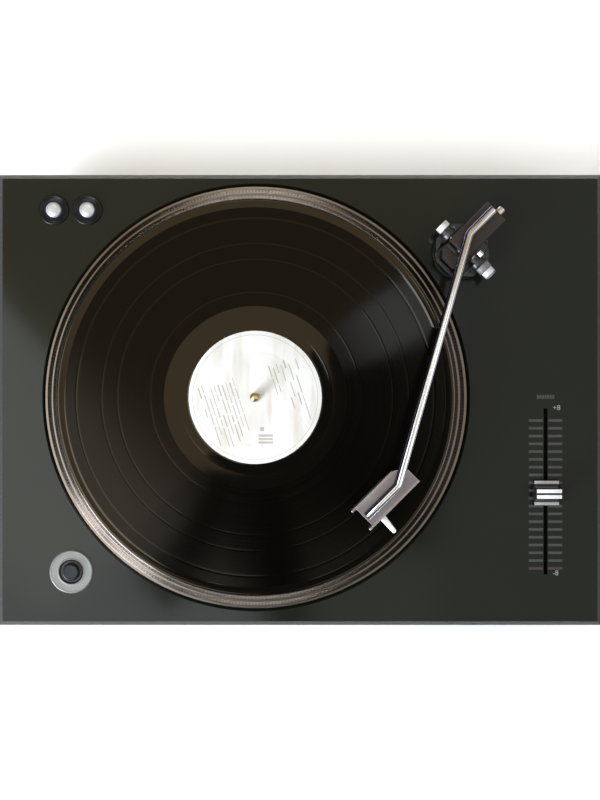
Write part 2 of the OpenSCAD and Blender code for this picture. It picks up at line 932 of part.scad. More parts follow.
module headshell() {
    half = shell_w / 2;
    inner = half - shell_wall;
    color(tan_metal)
    at_headshell() difference() {
        translate([0, 0, tube_under - shell_depth]) linear_extrude(shell_depth)
            polygon([[0, -half], [shell_l, -half], [shell_l, 4.5], [shell_short_side, half], [0, half]]);
        translate([-1, -inner, 0]) cube([shell_l + 2, 2 * inner, shell_roof]);
        translate([-1, -inner, 0]) cube([shell_front_gap + 1, 2 * inner, tube_z]);
        for (y = [-screw_spread, screw_spread])
            translate([screw_back, y, 0]) disc(1.25, shell_roof - 1, tube_under - 0.4);
    }
}

module finger_lift() {
    root_r = 2.5;
    tip_r = 1.6;
    lift_l = 13.9;
    lift_yaw = -94.5;
    color("white")
    at_headshell() translate([13.2, -shell_w / 2, tube_under - 8]) rotate(lift_yaw)
    difference() {
        linear_extrude(1.8) hull() {
            circle(r = root_r, $fn = 32);
            translate([lift_l, 0]) circle(r = tip_r, $fn = 32);
        }
        rotate(-lift_yaw) translate([-10, 0, -1]) cube([20, 10, 4]);
    }
}

module cartridge() {
    nose = stylus_back - 3;
    tail = nose + 26;
    half = 8.2;
    color([0.08, 0.08, 0.09])
    at_headshell() {
        difference() {
            translate([0, half, 0]) rotate([90, 0, 0]) linear_extrude(2 * half)
                polygon([
                    [nose, shell_roof], [nose, cart_foot + 6], [nose + 3, cart_foot], [tail - 4, cart_foot],
                    [tail, cart_foot + 4], [tail, shell_roof]
                ]);
            for (y = [-screw_spread, screw_spread]) translate([screw_back, y, 0]) {
                disc(2.5, groove_top, shell_roof - 3.2);
                disc(1.25, groove_top, shell_roof + 1);
            }
        }
        for (y = [-3, 3], z = [6, 11])
            translate([tail - eps, y, cart_foot + z]) rotate([0, 90, 0]) disc(0.65, 0, 5);
    }
}

module cartridge_screws() {
    color(silver)
    at_headshell()
    for (y = [-screw_spread, screw_spread]) translate([screw_back, y, 0]) {
        disc(1.2, shell_roof - 3.2, shell_roof + 1);
        disc(2.2, shell_roof - 5, shell_roof - 3.2);
    }
}

module stylus() {
    tip = groove_top + stylus_gap;
    grip_z = tip + 1.6;
    rise = 1.3;
    reach = 5;
    color([0.8, 0.8, 0.8])
    at_headshell() {
        translate([0, 3, 0]) rotate([90, 0, 0]) linear_extrude(6)
            polygon([
                [stylus_back + 4, cart_foot], [stylus_back + 4.6, grip_z], [stylus_back + 12, grip_z],
                [stylus_back + 14, cart_foot]
            ]);
        translate([stylus_back, 0, tip + 0.6]) rotate([0, 90 - atan(rise / reach), 0])
            cylinder(r = 0.35, h = norm([rise, reach]));
        translate([stylus_back, 0, tip]) cylinder(r1 = 0.06, r2 = 0.4, h = 0.7);
    }
}

top_deck();
bottom_cover();
base_walls();
base_posts();
rear_panel();
foot(-foot_x, -foot_y);  // foot_front_left
foot(foot_x, -foot_y);  // foot_front_right
foot(-foot_x, foot_y);  // foot_rear_left
foot(foot_x, foot_y);  // foot_rear_right
foot_pads();
foot_bolts();
base_screws();
motor_plate();
bearing_housing();
thrust_plate();
stator_board();
stator_coils();
main_board();
transformer_core();
transformer_winding();
transformer_bracket();
terminal_tray();
output_jacks();
mains_inlet();
start_ring();
start_switch();
start_button();
speed_ring(speed_33_at);  // speed_33_ring
speed_ring(speed_45_at);  // speed_45_ring
speed_switches();
speed_button(speed_33_at);  // speed_33_button
speed_button(speed_45_at);  // speed_45_button
fader_housing();
fader_lever();
fader_cap();
arm_base();
arm_base_nut();
arm_bearings();
platter();
platter_mat();
vinyl_record();
record_label();
spindle();
rotor_plate();
magnet_ring();
arm_shaft();
gimbal_yoke();
pivot_screws();
pivot_nuts();
anti_skate_knob();
arm_carrier();
arm_tube();
weight_shaft();
counterweight();
headshell();
finger_lift();
cartridge();
cartridge_screws();
stylus();
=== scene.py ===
"""Looks and fine detail for a direct-drive record player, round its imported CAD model.

Lengths are in metres, in the row's frame: +X right, +Y to the back, +Z up.
"""
import math
import random

import bmesh
import bpy
from mathutils import Matrix, Vector


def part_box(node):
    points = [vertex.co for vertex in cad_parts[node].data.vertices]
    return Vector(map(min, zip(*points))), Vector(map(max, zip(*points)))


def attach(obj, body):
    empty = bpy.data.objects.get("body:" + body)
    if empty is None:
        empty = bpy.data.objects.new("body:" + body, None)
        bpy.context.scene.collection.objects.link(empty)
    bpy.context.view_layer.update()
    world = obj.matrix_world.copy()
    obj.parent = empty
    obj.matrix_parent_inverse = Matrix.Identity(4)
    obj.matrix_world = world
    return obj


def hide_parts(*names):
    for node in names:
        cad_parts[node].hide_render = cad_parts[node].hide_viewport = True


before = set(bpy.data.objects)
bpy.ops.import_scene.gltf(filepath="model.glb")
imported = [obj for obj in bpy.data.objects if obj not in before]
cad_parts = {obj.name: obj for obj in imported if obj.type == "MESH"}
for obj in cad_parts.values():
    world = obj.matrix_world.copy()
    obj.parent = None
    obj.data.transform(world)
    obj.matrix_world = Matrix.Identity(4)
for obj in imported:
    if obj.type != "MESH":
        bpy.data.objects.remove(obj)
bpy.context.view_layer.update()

MM = 0.001
TAU = 2 * math.pi


# ---------------------------------------------------------------- places, from the frame

def low(node):
    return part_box(node)[0]


def high(node):
    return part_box(node)[1]


def middle(node):
    corner_a, corner_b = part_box(node)
    return (corner_a + corner_b) / 2


deck_z = high("top_deck").z
spindle_at = middle("platter")
pivot_at = middle("arm_base")
start_at = middle("start_ring")
speed_33_at = middle("speed_33_ring")
speed_45_at = middle("speed_45_ring")
slot_at = middle("fader_housing")
arm_yaw = math.radians(45)
rear_bend = Vector((6.8 * MM, 5.2 * MM, 0))
long_run = 193.0 * MM
bend_angle = math.radians(29.2)
front_bend = rear_bend - Vector((math.cos(bend_angle), math.sin(bend_angle), 0)) * long_run
tube_front = front_bend.x - 32.2 * MM
shell_front = tube_front - 5.6 * MM
shell_y = front_bend.y + 0.5 * MM
arm_place = Matrix.Translation((pivot_at.x, pivot_at.y, 0)) @ Matrix.Rotation(arm_yaw, 4, "Z")
bore_r = 3.65 * MM  # of the platter, the record and the label, round the spindle
label_r = 50.5 * MM
lip_z = deck_z + 4 * MM
ridge_z = deck_z + 9 * MM


# ---------------------------------------------------------------- camera and studio

def make_camera():
    """Straight down over the plinth's middle, with the plinth a little wider than the picture."""
    height = 0.80
    sensor = 36.0
    seen_width = 0.466
    data = bpy.data.cameras.new("camera")
    data.sensor_fit = "HORIZONTAL"
    data.sensor_width = sensor
    data.lens = sensor * height / seen_width
    data.clip_start = 0.01
    camera = bpy.data.objects.new("camera", data)
    camera.location = (0, 0, deck_z + height)
    bpy.context.collection.objects.link(camera)
    bpy.context.scene.camera = camera


def soft_panel(name, centre, aim, size, colour, radiance):
    """A rectangular studio light of an even radiance, facing a point."""
    data = bpy.data.lights.new(name, "AREA")
    data.shape = "RECTANGLE"
    data.size, data.size_y = size
    data.color = colour
    data.energy = radiance * math.pi * size[0] * size[1]
    lamp = bpy.data.objects.new(name, data)
    lamp.location = centre
    lamp.rotation_euler = (Vector(aim) - Vector(centre)).to_track_quat("-Z", "Y").to_euler()
    bpy.context.collection.objects.link(lamp)
    return lamp


def ceiling_panel(name, centre, size, height, colour, radiance, turn=0.0):
    """A level light over the deck, facing down, turned by an angle in degrees."""
    place = (*centre, deck_z + height)
    lamp = soft_panel(name, place, (*centre, 0), size, colour, radiance)
    lamp.rotation_euler = (0, 0, math.radians(turn))
    return lamp


def around(azimuth, distance, z):
    """A point at an azimuth from +X, in degrees, at a distance and a height."""
    angle = math.radians(azimuth)
    return distance * math.cos(angle), distance * math.sin(angle), z


def make_studio():
    scene = bpy.context.scene
    scene.view_settings.view_transform = "Standard"
    world = bpy.data.worlds.new("studio")
    scene.world = world
    world.use_nodes = True
    world.node_tree.nodes["Background"].inputs["Color"].default_value = (0.9, 0.95, 1.0, 1)
    world.node_tree.nodes["Background"].inputs["Strength"].default_value = 0.09

    cool, warm, neutral = (0.90, 0.98, 1.0), (1.0, 0.86, 0.60), (0.97, 1.0, 0.93)
    for name, centre, size in (("sheen_left", (-0.830, -0.380), (0.61, 1.20)),
                               ("sheen_middle", (-0.651, -0.690), (0.09, 1.05)),
                               ("sheen_front", (-0.529, -0.735), (0.14, 1.17))):
        ceiling_panel(name, centre, size, 1.0, cool, 3.4, -47.9)
    ceiling_panel("warm_panel", (-0.495, 0.424), (1.4, 1.2), 1.5, warm, 1.0, 45)
    ceiling_panel("right_panel", (0.93, 0.0), (1.26, 2.4), 1.5, neutral, 0.92)
    ceiling_panel("front_panel", (0.16, -0.475), (0.28, 0.29), 1.5, neutral, 1.2)
    ceiling_panel("streak_panel", (0.166, 0.140), (0.14, 0.10), 1.0, (0.70, 0.85, 1.0), 7.0, 30)
    ceiling_panel("back_wash", (0.0, 1.30), (2.6, 0.8), 1.0, (1.0, 0.80, 0.58), 0.7)
    for name, y, radiance in (("floor_wash_back", 0.53, 3.8), ("floor_wash_front", -0.62, 2.4)):
        wash = ceiling_panel(name, (0, y), (1.3, 0.3), 0.6, (1.0, 1.0, 1.0), radiance)
        wash.data.spread = math.radians(50)
    soft_panel("window_low", around(222, 1.5, 0.42), (0, 0, 0.1), (0.75, 0.8), (0.82, 0.88, 1.0), 26.0)
    soft_panel("right_wall", (1.5, -0.15, 1.0), (0, 0, 0.1), (1.6, 0.8), (0.95, 0.93, 1.0), 2.0)

    floor_mesh = bpy.data.meshes.new("floor")
    reach = 6.0
    corners = [(-reach, -reach, 0), (reach, -reach, 0), (reach, reach, 0), (-reach, reach, 0)]
    floor_mesh.from_pydata(corners, [], [(0, 1, 2, 3)])
    floor = bpy.data.objects.new("floor", floor_mesh)
    bpy.context.collection.objects.link(floor)
    paint = Surface("floor_white", (0.92, 0.92, 0.92), 0.8)
    floor.data.materials.append(paint.material)


# ---------------------------------------------------------------- materials

class Surface:
    """A Principled material, to which each method adds one layer of detail."""

    def __init__(self, name, colour, roughness, metallic=0.0, **sockets):
        self.material = bpy.data.materials.new(name)
        self.material.use_nodes = True
        self.tree = self.material.node_tree
        self.shader = self.tree.nodes["Principled BSDF"]
        self.shader.inputs["Base Color"].default_value = (*colour, 1)
        self.shader.inputs["Roughness"].default_value = roughness
        self.shader.inputs["Metallic"].default_value = metallic
        for socket, value in sockets.items():
            self.shader.inputs[socket.replace("_", " ")].default_value = value
        self.colour = (*colour, 1)
        self.roughness = roughness
        self.colour_out = None
        self.normal_out = None
        self.place = self.add("ShaderNodeTexCoord").outputs["Object"]

    def add(self, kind, settings=None, **inputs):
        """A node, with its inputs set to values or linked to sockets. _0 is the input with the number 0."""
        node = self.tree.nodes.new(kind)
        for key, value in (settings or {}).items():
            setattr(node, key, value)
        for key, value in inputs.items():
            socket = node.inputs[int(key[1:])] if key[0] == "_" else node.inputs[key.replace("_", " ")]
            if isinstance(value, bpy.types.NodeSocket):
                self.tree.links.new(value, socket)
            else:
                socket.default_value = value
        return node

    def maths(self, operation, *values):
        inputs = {f"_{i}": value for i, value in enumerate(values)}
        return self.add("ShaderNodeMath", {"operation": operation}, **inputs).outputs[0]

    def vector(self, operation, *values):
        """A vector operation. A length and a dot product give a number."""
        inputs = {f"_{i}": value for i, value in enumerate(values)}
        node = self.add("ShaderNodeVectorMath", {"operation": operation}, **inputs)
        return node.outputs["Value" if operation in ("LENGTH", "DOT_PRODUCT") else "Vector"]

    def spread(self, value, low_out, high_out, low_in=0.3, high_in=0.7):
        node = self.add("ShaderNodeMapRange", None, Value=value, From_Min=low_in, From_Max=high_in,
                        To_Min=low_out, To_Max=high_out)
        return node.outputs[0]

    def noise(self, scale, detail=4.0, stretch=(1, 1, 1)):
        place = self.add("ShaderNodeMapping", None, Vector=self.place, Scale=stretch).outputs[0]
        return self.add("ShaderNodeTexNoise", None, Vector=place, Scale=scale, Detail=detail).outputs[0]

    def tint(self, mask, other):
        """Mixes another colour in, by a mask from 0 to 1."""
        base = self.colour_out if self.colour_out else self.colour
        mix = self.add("ShaderNodeMix", {"data_type": "RGBA"}, _0=mask, _6=base, _7=(*other, 1))
        self.colour_out = mix.outputs[2]
        self.tree.links.new(self.colour_out, self.shader.inputs["Base Color"])
        return self

    def mottle(self, scale, other, low_in=0.35, high_in=0.7, detail=4.0, stretch=(1, 1, 1), value=None):
        """Patches of another colour, from noise or from a value that is given."""
        source = value if value else self.noise(scale, detail, stretch)
        return self.tint(self.spread(source, 0, 1, low_in, high_in), other)

    def smudge(self, scale, amount, detail=5.0, stretch=(1, 1, 1)):
        """Uneven gloss."""
        value = self.noise(scale, detail, stretch)
        low_rough = max(self.roughness - amount, 0.02)
        rough = self.spread(value, low_rough, self.roughness + amount)
        self.tree.links.new(rough, self.shader.inputs["Roughness"])
        return self

    def relief(self, height, depth):
        """Raises the surface by a height signal from 0 to 1, in metres."""
        bump = self.add("ShaderNodeBump", None, Height=height, Distance=depth, Strength=1.0)
        if self.normal_out:
            self.tree.links.new(self.normal_out, bump.inputs["Normal"])
        self.normal_out = bump.outputs[0]
        self.tree.links.new(self.normal_out, self.shader.inputs["Normal"])
        return self

    def grain(self, scale, depth, detail=3.0, stretch=(1, 1, 1)):
        return self.relief(self.noise(scale, detail, stretch), depth)

    def radius(self, centre):
        """The distance from a vertical axis, and the unit vector away from it."""
        flat = self.vector("MULTIPLY", self.vector("SUBTRACT", self.place, tuple(centre)), (1, 1, 0))
        return self.vector("LENGTH", flat), self.vector("NORMALIZE", flat)

    def rings(self, length, scale, detail):
        """Noise that changes with one distance only."""
        return self.add("ShaderNodeTexNoise", {"noise_dimensions": "1D"}, W=length, Scale=scale,
                        Detail=detail).outputs[0]

    def turned(self, centre, pitch, depth, anisotropy=0.0):
        """Fine concentric tool marks round a vertical axis, with the streaks of light that they throw."""
        length, away = self.radius(centre)
        self.relief(self.rings(length, 1 / pitch, 4.0), depth)
        if anisotropy:
            self.shader.inputs["Anisotropic"].default_value = anisotropy
            self.tree.links.new(away, self.shader.inputs["Tangent"])
        return self

    def edge_wear_and_highlight(self, radius, other, amount=0.8):
        """Another colour along the edges: rubbed wear on some parts, a painted edge highlight on others."""
        soft = self.add("ShaderNodeBevel", {"samples": 4}, Radius=radius).outputs[0]
        sharp = self.add("ShaderNodeNewGeometry").outputs["Normal"]
        near_edge = self.spread(self.vector("DOT_PRODUCT", soft, sharp), amount, 0, 0.75, 0.99)
        return self.tint(self.maths("MULTIPLY", near_edge, self.spread(self.noise(220, 5), 0.3, 1.0)), other)


def deck_paint():
    paint = Surface("deck_paint", (0.0096, 0.0104, 0.0070), 0.11, 0.0, Specular_IOR_Level=0.2)
    paint.mottle(7, (0.0084, 0.0094, 0.0066), 0.4, 0.65)
    paint.smudge(18, 0.02)
    return paint.grain(2600, 0.000004)


def black_plastic(name, roughness=0.42, shade=0.012):
    plastic = Surface(name, (shade, shade, shade * 1.04), roughness)
    plastic.smudge(60, 0.06)
    return plastic.grain(3200, 0.00002)


def rubber():
    stuff = Surface("soft_rubber", (0.018, 0.018, 0.018), 0.72)
    stuff.mottle(90, (0.03, 0.03, 0.03))
    return stuff.grain(2400, 0.00004)


def steel(name, colour=(0.62, 0.62, 0.60), roughness=0.28):
    metal = Surface(name, colour, roughness, 1.0)
    metal.smudge(140, 0.08)
    return metal.grain(1800, 0.000008, 3.0, (1, 1, 8))


def chrome():
    """The tube's polish, with a painted reflection that turns browner towards the pivot and a painted dark
    reflection on its left flank, fixed to the surface's own direction.
    """
    metal = Surface("tube_chrome", (0.82, 0.84, 0.88), 0.15, 1.0)
    # Painted reflection: a brown tint that grows towards the pivot.
    rear = metal.radius(pivot_at)[0]
    metal.mottle(0, (0.36, 0.315, 0.26), 0.10, 0.0, value=rear)
    # Painted dark reflection on the left flank, by the object's own normal, so it turns with the arm.
    faced = metal.tree.nodes["Texture Coordinate"].outputs["Normal"]
    to_left = metal.vector("DOT_PRODUCT", faced, (-0.96, 0.28, 0))
    metal.mottle(0, (0.10, 0.11, 0.19), 0.3, 0.55, value=to_left)
    return metal.smudge(90, 0.03)


def platter_metal():
    metal = Surface("platter_metal", (0.170, 0.140, 0.114), 0.30, 1.0)
    metal.mottle(30, (0.150, 0.122, 0.100))
    return metal.turned(spindle_at, 0.0012, 0.00001, 0.35)


def grooved_vinyl():
    vinyl = Surface("grooved_vinyl", (0.0010, 0.0008, 0.0006), 0.13, 0.0, Specular_IOR_Level=0.12,
                    Specular_Tint=(1.0, 0.84, 0.70, 1))
    length, away = vinyl.radius(spindle_at)
    loud = vinyl.rings(length, 900.0, 5.0)
    vinyl.tree.links.new(vinyl.spread(loud, 0.11, 0.15), vinyl.shader.inputs["Roughness"])
    vinyl.mottle(0, (0.0016, 0.0012, 0.0009), 0.35, 0.65, value=loud)
    vinyl.shader.inputs["Anisotropic"].default_value = 0.9
    vinyl.tree.links.new(away, vinyl.shader.inputs["Tangent"])
    return vinyl


def smooth_vinyl(name, level):
    vinyl = Surface(name, (0.0016, 0.0012, 0.0009), 0.06, 0.0, Specular_IOR_Level=level,
                    Specular_Tint=(1.0, 0.85, 0.65, 1))
    return vinyl.smudge(50, 0.015)


def label_paper():
    paper = Surface("label_paper", (0.81, 0.805, 0.80), 0.62)
    paper.mottle(26, (0.73, 0.70, 0.65), 0.45, 0.70)
    paper.mottle(150, (0.66, 0.62, 0.56), 0.48, 0.75, 4.0, (1, 0.15, 1))
    return paper.grain(3000, 0.00001)


def tan_metal():
    metal = Surface("shell_metal", (0.245, 0.208, 0.208), 0.36, 0.75)
    metal.mottle(60, (0.19, 0.160, 0.165))
    # Painted highlight: light lines along the shell's folded edges.
    metal.edge_wear_and_highlight(0.0012, (0.80, 0.72, 0.68), 1.0)
    return metal.grain(1400, 0.000012)


def weight_paint():
    paint = Surface("weight_metal", (0.032, 0.024, 0.019), 0.42, 0.2, Specular_IOR_Level=0.3)
    paint.mottle(70, (0.025, 0.0195, 0.016))
    paint.edge_wear_and_highlight(0.0006, (0.16, 0.13, 0.11), 0.7)
    return paint.grain(1600, 0.00001)


def champagne():
    metal = Surface("champagne_metal", (0.225, 0.228, 0.222), 0.45, 0.25)
    metal.mottle(80, (0.18, 0.182, 0.172))
    return metal.turned(start_at, 0.0006, 0.000008)


def plain(name, colour, roughness, metallic=0.0):
    """A lightly uneven finish for small parts."""
    stuff = Surface(name, colour, roughness, metallic)
    stuff.mottle(120, tuple(0.82 * c for c in colour))
    return stuff.smudge(100, min(0.06, roughness / 2))


# ---------------------------------------------------------------- shapes: (vertices, faces) in metres

def fillet(points, radius, steps=3, closed=True):
    """Rounds the corners of an outline."""
    points = [Vector(p) for p in points]
    out = []
    count = len(points)
    for i, corner in enumerate(points):
        if not closed and i in (0, count - 1):
            out.append(corner)
            continue
        back = points[i - 1] - corner
        ahead = points[(i + 1) % count] - corner
        cut = min(radius, 0.45 * back.length, 0.45 * ahead.length)
        start = corner + back.normalized() * cut
        end = corner + ahead.normalized() * cut
        for k in range(steps + 1):
            t = k / steps
            out.append(start * (1 - t) ** 2 + corner * 2 * t * (1 - t) + end * t * t)
    return out


def lathe(profile, segments=128, closed=True):
    """A profile of (radius, height) turned round Z."""
    verts, faces, rings = [], [], []
    for r, z in profile:
        if r < 1e-6:
            rings.append([len(verts)] * segments)
            verts.append((0, 0, z))
            continue
        rings.append(range(len(verts), len(verts) + segments))
        for k in range(segments):
            angle = TAU * k / segments
            verts.append((r * math.cos(angle), r * math.sin(angle), z))
    pairs = list(zip(rings, rings[1:])) + ([(rings[-1], rings[0])] if closed else [])
    for a, b in pairs:
        for k in range(segments):
            m = (k + 1) % segments
            corners = list(dict.fromkeys((a[k], a[m], b[m], b[k])))
            if len(corners) > 2:
                faces.append(tuple(corners))
    return verts, faces


def from_bmesh(bm):
    bmesh.ops.recalc_face_normals(bm, faces=bm.faces)
    bm.verts.index_update()
    shape = [v.co.copy() for v in bm.verts], [tuple(v.index for v in f.verts) for f in bm.faces]
    bm.free()
    return shape


def prism(outline, z0, z1, bevel):
    """An outline of (x, y) raised from z0 to z1, with its sharp edges rounded."""
    bm = bmesh.new()
    base = bm.faces.new([bm.verts.new((x, y, z0)) for x, y in outline])
    lifted = bmesh.ops.extrude_face_region(bm, geom=[base])
    top = [v for v in lifted["geom"] if isinstance(v, bmesh.types.BMVert)]
    bmesh.ops.translate(bm, verts=top, vec=(0, 0, z1 - z0))
    bmesh.ops.recalc_face_normals(bm, faces=bm.faces)
    if bevel:
        edges = [e for e in bm.edges if e.calc_face_angle(0) > math.radians(30)]
        bmesh.ops.bevel(bm, geom=edges, offset=bevel, segments=2, profile=0.6, affect="EDGES")
    return from_bmesh(bm)


def block(size, centre, bevel):
    """A box about a centre, with its edges rounded if bevel isn't 0."""
    w, d, h = (s / 2 for s in size)
    shape = prism([(-w, -d), (w, -d), (w, d), (-w, d)], -h, h, bevel)
    return moved(shape, Matrix.Translation(centre))


def skin(rings, sides):
    """The faces of a closed rod, whose points come ring by ring."""
    faces = []
    for i in range(rings - 1):
        for k in range(sides):
            m = (k + 1) % sides
            faces.append((i * sides + k, i * sides + m, (i + 1) * sides + m, (i + 1) * sides + k))
    last = rings * sides
    return faces + [tuple(reversed(range(sides))), tuple(range(last - sides, last))]


def swept(path, radii, sides=32):
    """A round rod along a path. radii is one number, or one for each point."""
    path = [Vector(p) for p in path]
    if not isinstance(radii, (list, tuple)):
        radii = [radii] * len(path)
    verts = []
    side = None
    for i, point in enumerate(path):
        ahead = (path[min(i + 1, len(path) - 1)] - path[max(i - 1, 0)]).normalized()
        if side is None:
            side = ahead.orthogonal().normalized()
        side = (side - ahead * side.dot(ahead)).normalized()
        other = ahead.cross(side)
        for k in range(sides):
            angle = TAU * k / sides
            verts.append(point + (side * math.cos(angle) + other * math.sin(angle)) * radii[i])
    return verts, skin(len(path), sides)


def arc_path(corners, radius, steps=10):
    """A path with straight runs and circular bends at its corners."""
    corners = [Vector(c) for c in corners]
    path = [corners[0]]
    for before, corner, after in zip(corners, corners[1:], corners[2:]):
        back, ahead = (before - corner).normalized(), (after - corner).normalized()
        half = back.angle(ahead) / 2
        setback = radius / math.tan(half)
        centre = corner + (back + ahead).normalized() * radius / math.sin(half)
        first = (corner + back * setback - centre).normalized()
        last = (corner + ahead * setback - centre).normalized()
        for k in range(steps + 1):
            path.append(centre + first.slerp(last, k / steps) * radius)
    path.append(corners[-1])
    return path


def moved(shape, matrix):
    return [matrix @ Vector(v) for v in shape[0]], shape[1]


def merged(*shapes):
    verts, faces = [], []
    for shape_verts, shape_faces in shapes:
        start = len(verts)
        verts.extend(shape_verts)
        faces.extend(tuple(start + i for i in face) for face in shape_faces)
    return verts, faces


def piece(name, shape, body, surface, place=None, replaces=(), sharp=32):
    """Makes an object of a shape, which rides on a body and may stand for CAD nodes."""
    verts, faces = moved(shape, place) if place else shape
    mesh = bpy.data.meshes.new(name)
    mesh.from_pydata([tuple(v) for v in verts], [], faces)
    bm = bmesh.new()
    bm.from_mesh(mesh)
    bmesh.ops.recalc_face_normals(bm, faces=bm.faces)
    bm.to_mesh(mesh)
    bm.free()
    mesh.materials.append(surface.material)
    for face in mesh.polygons:
        face.use_smooth = True
    mesh.set_sharp_from_angle(angle=math.radians(sharp))
    obj = bpy.data.objects.new(name, mesh)
    bpy.context.collection.objects.link(obj)
    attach(obj, body)
    if replaces:
        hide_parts(*replaces)
    return obj


def upright(centre, z=0.0):
    return Matrix.Translation((centre.x, centre.y, z))


def dress(nodes, surface, soften=0.0):
    """Gives each CAD node in a list its material, and rounds its sharp edges if soften isn't 0."""
    for node in nodes.split():
        dress_one(node, surface, soften)


def dress_one(node, surface, soften):
    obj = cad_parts[node]
    obj.data.materials.clear()
    obj.data.materials.append(surface.material)
    if soften:
        weld = obj.modifiers.new("weld", "WELD")
        weld.merge_threshold = 0.000002
        merge = obj.modifiers.new("merge_flats", "DECIMATE")
        merge.decimate_type = "DISSOLVE"
        merge.angle_limit = math.radians(1)
        bevel = obj.modifiers.new("soften", "BEVEL")
        bevel.width = soften
        bevel.segments = 2
        bevel.limit_method = "ANGLE"
        bevel.angle_limit = math.radians(32)
        bevel.harden_normals = False


# ---------------------------------------------------------------- platter and record

def platter_profile():
    """The platter's section, from its bore to its rim and back, as (radius, height)."""
    rim = (high("platter").x - low("platter").x) / 2
    hub = high("rotor_plate").z
    top = high("platter").z
    skirt = low("platter").z
    rib = low("magnet_ring").z
    return rim, fillet([
        (bore_r, hub), (60 * MM, hub), (60 * MM, rib), (63 * MM, rib), (63 * MM, top - 5 * MM),
        (rim - 17 * MM, top - 5 * MM), (rim - 8.4 * MM, deck_z + 2 * MM), (rim - 8.4 * MM, skirt),
        (rim - 1.8 * MM, skirt), (rim - 1 * MM, skirt + 0.8 * MM), (rim - 1 * MM, deck_z + 1.5 * MM),
        (rim, deck_z + 1.5 * MM), (rim, lip_z), (rim - 1.9 * MM, lip_z),
        (rim - 2.1 * MM, lip_z + 0.4 * MM), (rim - 5.7 * MM, ridge_z - 0.6 * MM), (rim - 5.9 * MM, ridge_z),
        (rim - 7.3 * MM, ridge_z), (rim - 7.5 * MM, ridge_z + 0.4 * MM), (rim - 10.4 * MM, top - 0.6 * MM),
        (rim - 10.9 * MM, top), (bore_r, top)
    ], 0.35 * MM, 3)


def strobe_marks(count, r_out, z_out, r_in, z_in, width, length):
    """Short marks inlaid round a cone between two rings, as eight-sided plates."""
    sunk, proud = 0.00003, 0.00004
    outer, inner = Vector((r_out, 0, z_out)), Vector((r_in, 0, z_in))
    slope = (inner - outer).normalized()
    normal = Vector((-slope.z, 0, slope.x))
    if normal.x < 0:
        normal.negate()
    middle_point = (outer + inner) / 2
    outline = ((-1, -0.7), (-0.8, -1), (0.8, -1), (1, -0.7), (1, 0.7), (0.8, 1), (-0.8, 1), (-1, 0.7))
    corners = [middle_point + slope * along * length / 2 + Vector((0, across * width / 2, 0))
               for along, across in outline]
    n = len(corners)
    faces = [(k, (k + 1) % n, n + (k + 1) % n, n + k) for k in range(n)] + [tuple(range(n, 2 * n))]
    shapes = []
    for i in range(count):
        turn = Matrix.Rotation(TAU * i / count, 4, "Z")
        low_ring = [turn @ (c - normal * sunk) for c in corners]
        high_ring = [turn @ (c + normal * proud) for c in corners]
        shapes.append((low_ring + high_ring, faces))
    return merged(*shapes)


def make_platter(metal, dark):
    rim, profile = platter_profile()
    centre = upright(spindle_at)
    piece("platter_turned", lathe(profile, 256), "turntable", metal, centre, ["platter"])
    top = high("platter").z
    outer = strobe_marks(396, rim - 2.1 * MM, lip_z + 0.4 * MM, rim - 5.7 * MM, ridge_z - 0.6 * MM,
                         1.25 * MM, 3.6 * MM)
    inner = strobe_marks(360, rim - 7.5 * MM, ridge_z + 0.4 * MM, rim - 10.4 * MM, top - 0.6 * MM,
                         1.1 * MM, 3.2 * MM)
    piece("strobe_marks", merged(outer, inner), "turntable", dark, centre)


def record_section():
    """The record's top, from the rim inwards, as (radius, height, smooth), with quiet rings between tracks.

    The raised ring round the label is narrower than the CAD's, which reaches 5 mm out from the label. The
    CAD's stylus cuts 0.1 mm into that wider ring at the inner end of the swing, which these meshes don't show.
    """
    rim = (high("vinyl_record").x - low("vinyl_record").x) / 2 * 1.0003
    top = high("vinyl_record").z
    groove = top - 0.3 * MM
    quiet = [(135.8, 1.1), (116.8, 1.0), (104.7, 1.0), (79.6, 1.2)]
    seat = top - 0.1 * MM  # where the label lies
    run_out = 69 * MM
    ridge_pitch = 1.0 * MM
    points = [(rim, top - 0.6 * MM, True), (rim - 0.2 * MM, top - 0.25 * MM, True),
              (rim - 0.6 * MM, top, True), (rim - 2.2 * MM, top, True), (rim - 3.4 * MM, groove, True),
              (rim - 6.6 * MM, groove, True)]
    r = rim - 7.0 * MM
    index = 0
    while r > run_out:
        hit = [w for c, w in quiet if abs(r - c * MM) < w * MM / 2]
        points.append((r, groove - (0.05 if hit else 0.012 * (index % 2)) * MM, bool(hit)))
        r -= ridge_pitch / 2
        index += 1
    inner = [(run_out, groove - 0.02 * MM), (59 * MM, groove - 0.02 * MM), (58.4 * MM, groove - 0.07 * MM),
             (57.8 * MM, groove - 0.02 * MM), (label_r + 1.1 * MM, groove), (label_r + 0.9 * MM, groove),
             (label_r + 0.4 * MM, seat), (label_r + 0.2 * MM, seat), (label_r, seat), (bore_r, seat)]
    return points + [(radius, height, True) for radius, height in inner]


